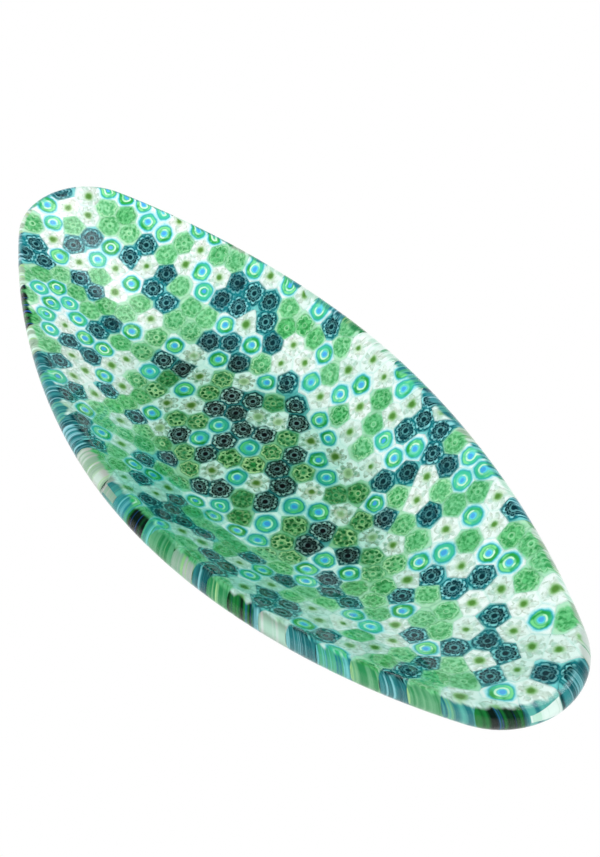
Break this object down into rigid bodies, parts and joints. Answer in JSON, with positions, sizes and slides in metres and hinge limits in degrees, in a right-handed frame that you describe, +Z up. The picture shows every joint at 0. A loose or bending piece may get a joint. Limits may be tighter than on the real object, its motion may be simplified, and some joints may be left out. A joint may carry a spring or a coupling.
{
  "type": "art glass bowl",
  "caption": "Long pointed-oval bowl of thick fused and slumped glass, set all over with upright slices of patterned glass cane in teal, turquoise, green and clear.",
  "frame": {"origin": "middle of the flat foot, on the surface that the bowl stands on", "axes": "+Z up out of the bowl, +X along the bowl towards one pointed tip, +Y across it"},
  "size_m": [0.26, 0.1058, 0.0361],
  "materials": {
    "clear_glass": "polished, colourless with a faint green tint",
    "teal_daisy_glass": "polished, dark teal glass with grey-white petal lines",
    "turquoise_ring_glass": "polished, turquoise and green rings round a sky-blue core",
    "green_flower_glass": "polished, leaf-green glass with pale petal lines",
    "clear_star_glass": "polished, clear glass with a grey star and an olive-green core"
  },
  "bodies": {
    "root": {"clear_glass_body": "clear_glass", "murrina_clear_star_01": "clear_star_glass", "murrina_clear_star_02": "clear_star_glass", "murrina_clear_star_03": "clear_star_glass", "murrina_clear_star_04": "clear_star_glass", "murrina_clear_star_05": "clear_star_glass", "murrina_clear_star_06": "clear_star_glass", "murrina_clear_star_07": "clear_star_glass", "murrina_clear_star_08": "clear_star_glass", "murrina_clear_star_09": "clear_star_glass", "murrina_clear_star_10": "clear_star_glass", "murrina_clear_star_11": "clear_star_glass", "murrina_clear_star_12": "clear_star_glass", "murrina_clear_star_13": "clear_star_glass", "murrina_green_flower_01": "green_flower_glass", "murrina_green_flower_02": "green_flower_glass", "murrina_green_flower_03": "green_flower_glass", "murrina_green_flower_04": "green_flower_glass", "murrina_green_flower_05": "green_flower_glass", "murrina_green_flower_06": "green_flower_glass", "murrina_green_flower_07": "green_flower_glass", "murrina_green_flower_08": "green_flower_glass", "murrina_green_flower_09": "green_flower_glass", "murrina_green_flower_10": "green_flower_glass", "murrina_green_flower_11": "green_flower_glass", "murrina_green_flower_12": "green_flower_glass", "murrina_green_flower_13": "green_flower_glass", "murrina_green_flower_14": "green_flower_glass", "murrina_green_flower_15": "green_flower_glass", "murrina_green_flower_16": "green_flower_glass", "murrina_teal_daisy_01": "teal_daisy_glass", "murrina_teal_daisy_02": "teal_daisy_glass", "murrina_teal_daisy_03": "teal_daisy_glass", "murrina_teal_daisy_04": "teal_daisy_glass", "murrina_teal_daisy_05": "teal_daisy_glass", "murrina_teal_daisy_06": "teal_daisy_glass", "murrina_teal_daisy_07": "teal_daisy_glass", "murrina_teal_daisy_08": "teal_daisy_glass", "murrina_teal_daisy_09": "teal_daisy_glass", "murrina_teal_daisy_10": "teal_daisy_glass", "murrina_teal_daisy_11": "teal_daisy_glass", "murrina_teal_daisy_12": "teal_daisy_glass", "murrina_teal_daisy_13": "teal_daisy_glass", "murrina_teal_daisy_14": "teal_daisy_glass", "murrina_teal_daisy_15": "teal_daisy_glass", "murrina_teal_daisy_16": "teal_daisy_glass", "murrina_teal_daisy_17": "teal_daisy_glass", "murrina_teal_daisy_18": "teal_daisy_glass", "murrina_turquoise_ring_01": "turquoise_ring_glass", "murrina_turquoise_ring_02": "turquoise_ring_glass", "murrina_turquoise_ring_03": "turquoise_ring_glass", "murrina_turquoise_ring_04": "turquoise_ring_glass", "murrina_turquoise_ring_05": "turquoise_ring_glass", "murrina_turquoise_ring_06": "turquoise_ring_glass", "murrina_turquoise_ring_07": "turquoise_ring_glass", "murrina_turquoise_ring_08": "turquoise_ring_glass", "murrina_turquoise_ring_09": "turquoise_ring_glass", "murrina_turquoise_ring_10": "turquoise_ring_glass", "murrina_turquoise_ring_11": "turquoise_ring_glass", "murrina_turquoise_ring_12": "turquoise_ring_glass"}
  },
  "joints": []
}
